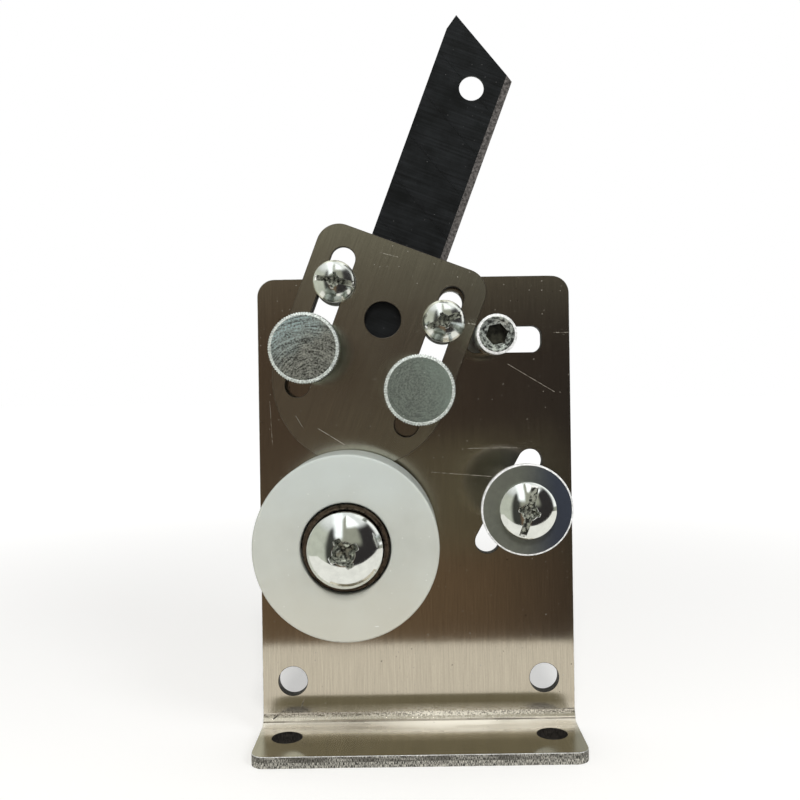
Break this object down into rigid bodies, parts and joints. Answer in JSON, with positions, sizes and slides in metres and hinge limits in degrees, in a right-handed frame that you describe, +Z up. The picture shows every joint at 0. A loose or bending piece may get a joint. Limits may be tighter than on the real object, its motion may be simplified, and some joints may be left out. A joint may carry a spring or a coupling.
{
  "type": "cable stripping machine",
  "caption": "Bench cable stripper: an angle bracket carries a clamped snap-off blade over a grooveless nylon roller, with sliding cable guides beside it.",
  "frame": {"origin": "centre of the foot's underside, where the machine stands on the bench", "axes": "+Z up, -Y out of the plate's front face, along the foot, +X to the right as seen from the front"},
  "size_m": [0.071, 0.0428, 0.163],
  "materials": {
    "plate_steel": "brushed stainless sheet with bright deburred edges",
    "clamp_steel": "brushed stainless sheet",
    "blade_steel": "black oxide with a grey ground edge",
    "bright_screw": "polished",
    "knurled_steel": "turned and zinc plated, knurled rim",
    "zinc": "zinc plated",
    "bearing_steel": "ground",
    "ball_steel": "polished",
    "nylon": "off-white turned nylon"
  },
  "bodies": {
    "frame": {"base_bracket": "plate_steel", "clamp_screw_left": "bright_screw", "clamp_screw_left_rear_washer": "zinc", "clamp_screw_left_nut": "zinc", "clamp_screw_right": "bright_screw", "clamp_screw_right_rear_washer": "zinc", "clamp_screw_right_nut": "zinc", "thumb_screw_left_rear_washer": "zinc", "thumb_screw_left_nut": "zinc", "thumb_screw_right_rear_washer": "zinc", "thumb_screw_right_nut": "zinc", "axle_screw": "bright_screw", "axle_spacer": "zinc", "axle_shim": "zinc", "axle_rear_washer": "zinc", "axle_nut": "zinc", "bearing_inner_ring": "bearing_steel"},
    "wheel": {"roller_wheel": "nylon", "bearing_outer_ring": "bearing_steel", "bearing_shield_front": "bearing_steel", "bearing_shield_rear": "bearing_steel"},
    "ball_cage": {"bearing_cage": "bearing_steel", "bearing_ball_1": "ball_steel", "bearing_ball_2": "ball_steel", "bearing_ball_3": "ball_steel", "bearing_ball_4": "ball_steel", "bearing_ball_5": "ball_steel", "bearing_ball_6": "ball_steel", "bearing_ball_7": "ball_steel"},
    "clamp": {"blade_clamp_plate": "clamp_steel"},
    "blade": {"cutter_blade": "blade_steel"},
    "thumb_left": {"thumb_screw_left": "knurled_steel"},
    "thumb_right": {"thumb_screw_right": "knurled_steel"},
    "lower_guide": {"lower_guide_collar": "zinc", "lower_guide_disc": "bright_screw", "lower_guide_screw": "bright_screw", "lower_guide_rear_washer": "zinc", "lower_guide_nut": "zinc"},
    "lower_sleeve": {"lower_guide_sleeve": "zinc"},
    "upper_guide": {"upper_guide_screw": "bright_screw", "upper_guide_rear_washer": "zinc", "upper_guide_nut": "zinc"},
    "upper_sleeve": {"upper_guide_sleeve": "zinc"}
  },
  "joints": [
    {"name": "wheel_spin", "type": "hinge", "parent": "frame", "child": "wheel", "pos_m": [-0.0149, 0, 0.0454], "axis": [0, -1, 0], "continuous": true},
    {"name": "cage_spin", "type": "hinge", "parent": "frame", "child": "ball_cage", "pos_m": [-0.0149, 0, 0.0454], "axis": [0, -1, 0], "continuous": true},
    {"name": "clamp_slide", "type": "slide", "parent": "frame", "child": "clamp", "axis": [0.3551, 0, 0.9348], "range_m": [-0.0055, 0.0084]},
    {"name": "blade_slide", "type": "slide", "parent": "frame", "child": "blade", "axis": [0.3551, 0, 0.9348], "range_m": [-0.012, 0.02]},
    {"name": "thumb_left_turn", "type": "hinge", "parent": "frame", "child": "thumb_left", "pos_m": [-0.02336, 0, 0.08742], "axis": [0, -1, 0], "range_deg": [0, 360]},
    {"name": "thumb_right_turn", "type": "hinge", "parent": "frame", "child": "thumb_right", "pos_m": [0.00104, 0, 0.07815], "axis": [0, -1, 0], "range_deg": [0, 360]},
    {"name": "lower_guide_slide", "type": "slide", "parent": "frame", "child": "lower_guide", "axis": [0.4833, 0, 0.8755], "range_m": [-0.0122, 0.0085]},
    {"name": "lower_sleeve_spin", "type": "hinge", "parent": "lower_guide", "child": "lower_sleeve", "pos_m": [0.022, 0, 0.05408], "axis": [0, -1, 0], "continuous": true},
    {"name": "upper_guide_slide", "type": "slide", "parent": "frame", "child": "upper_guide", "axis": [1, 0, 0], "range_m": [0, 0.0092]},
    {"name": "upper_sleeve_spin", "type": "hinge", "parent": "upper_guide", "child": "upper_sleeve", "pos_m": [0.0168, 0, 0.0893], "axis": [0, -1, 0], "continuous": true}
  ],
  "couplings": [
    {"joint": "cage_spin", "follows": "wheel_spin", "ratio": 0.6132}
  ]
}
